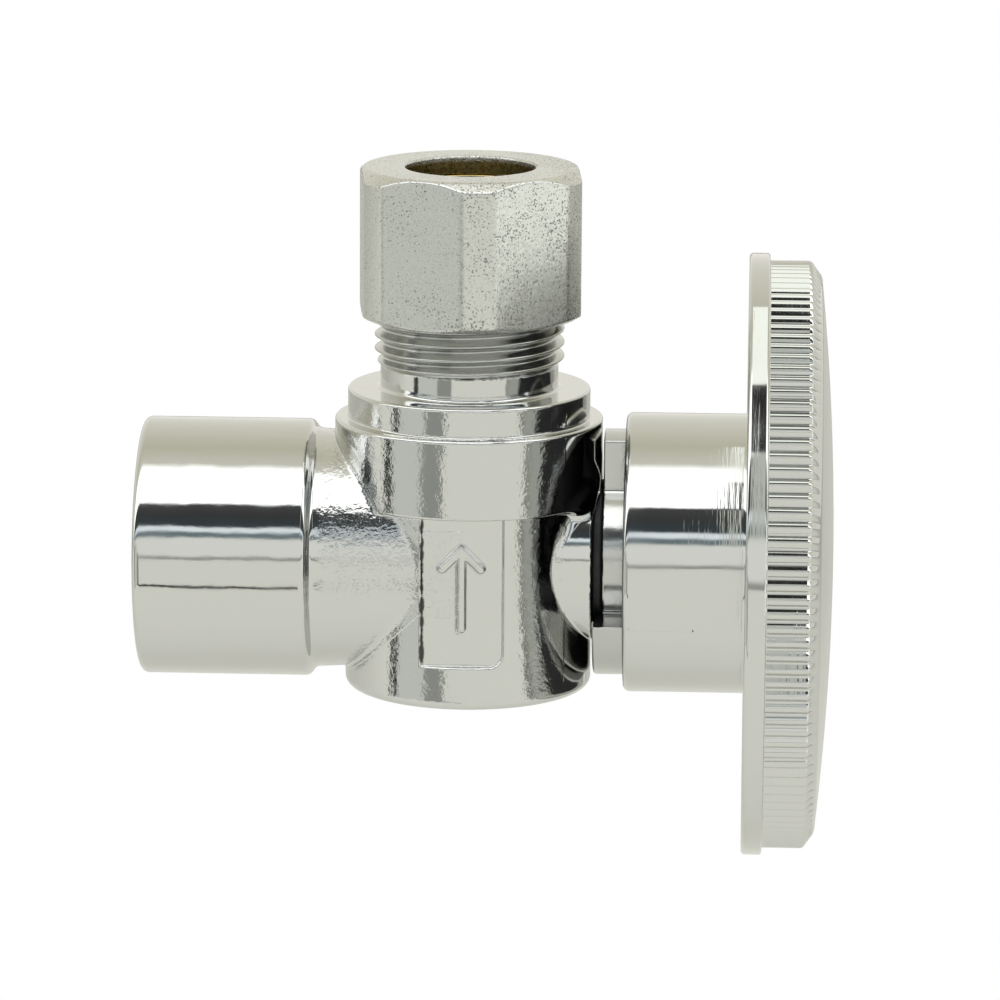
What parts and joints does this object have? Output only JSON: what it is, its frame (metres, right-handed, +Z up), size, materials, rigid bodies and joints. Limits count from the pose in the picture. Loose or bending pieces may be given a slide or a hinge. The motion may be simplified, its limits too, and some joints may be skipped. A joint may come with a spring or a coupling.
{
  "type": "angle stop valve",
  "caption": "Chrome quarter-turn angle stop valve with a copper sweat inlet, a compression outlet for small supply tube and a round knurled handle.",
  "frame": {"origin": "centre of the inlet socket's mouth, on the inlet axis", "axes": "+X from the inlet along the stem to the handle, +Z up the outlet, -Y the side of the barrel with the flat panel"},
  "size_m": [0.0523, 0.0454, 0.052],
  "materials": {
    "body_chrome": "polished chrome plate over forged brass",
    "nut_chrome": "satin chrome plate over machined brass",
    "handle_chrome": "polished chrome plate with fine turning marks",
    "ball_chrome": "mirror chrome plate",
    "bare_brass": "bare machined brass",
    "ptfe": "white PTFE",
    "seal_rubber": "black nitrile rubber",
    "plated_steel": "zinc plated steel"
  },
  "bodies": {
    "valve": {"valve_body": "body_chrome", "inlet_seat_ring": "ptfe", "stem_seat_ring": "ptfe", "outlet_seat_ring": "ptfe", "bonnet": "body_chrome", "bonnet_o_ring": "seal_rubber"},
    "handle": {"handle_wheel": "handle_chrome", "index_cap": "handle_chrome", "handle_screw": "plated_steel", "screw_lock_washer": "plated_steel", "stem": "bare_brass", "thrust_washer": "ptfe", "stem_o_ring_inner": "seal_rubber", "stem_o_ring_outer": "seal_rubber", "ball": "ball_chrome"},
    "sleeve": {"compression_sleeve": "bare_brass"},
    "nut": {"compression_nut": "nut_chrome"}
  },
  "joints": [
    {"name": "handle_turn", "type": "hinge", "parent": "valve", "child": "handle", "pos_m": [0.02466, 0, 0], "axis": [-1, 0, 0], "range_deg": [0, 90]},
    {"name": "sleeve_lift", "type": "slide", "parent": "valve", "child": "sleeve", "axis": [0, 0, 1], "range_m": [-0.0016, 0.00425]},
    {"name": "nut_turn", "type": "hinge", "parent": "sleeve", "child": "nut", "pos_m": [0.02466, 0, 0.0235], "axis": [0, 0, 1], "range_deg": [-540, 1440]}
  ],
  "couplings": [
    {"joint": "sleeve_lift", "follows": "nut_turn", "m_per_rad": 0.00016844}
  ]
}
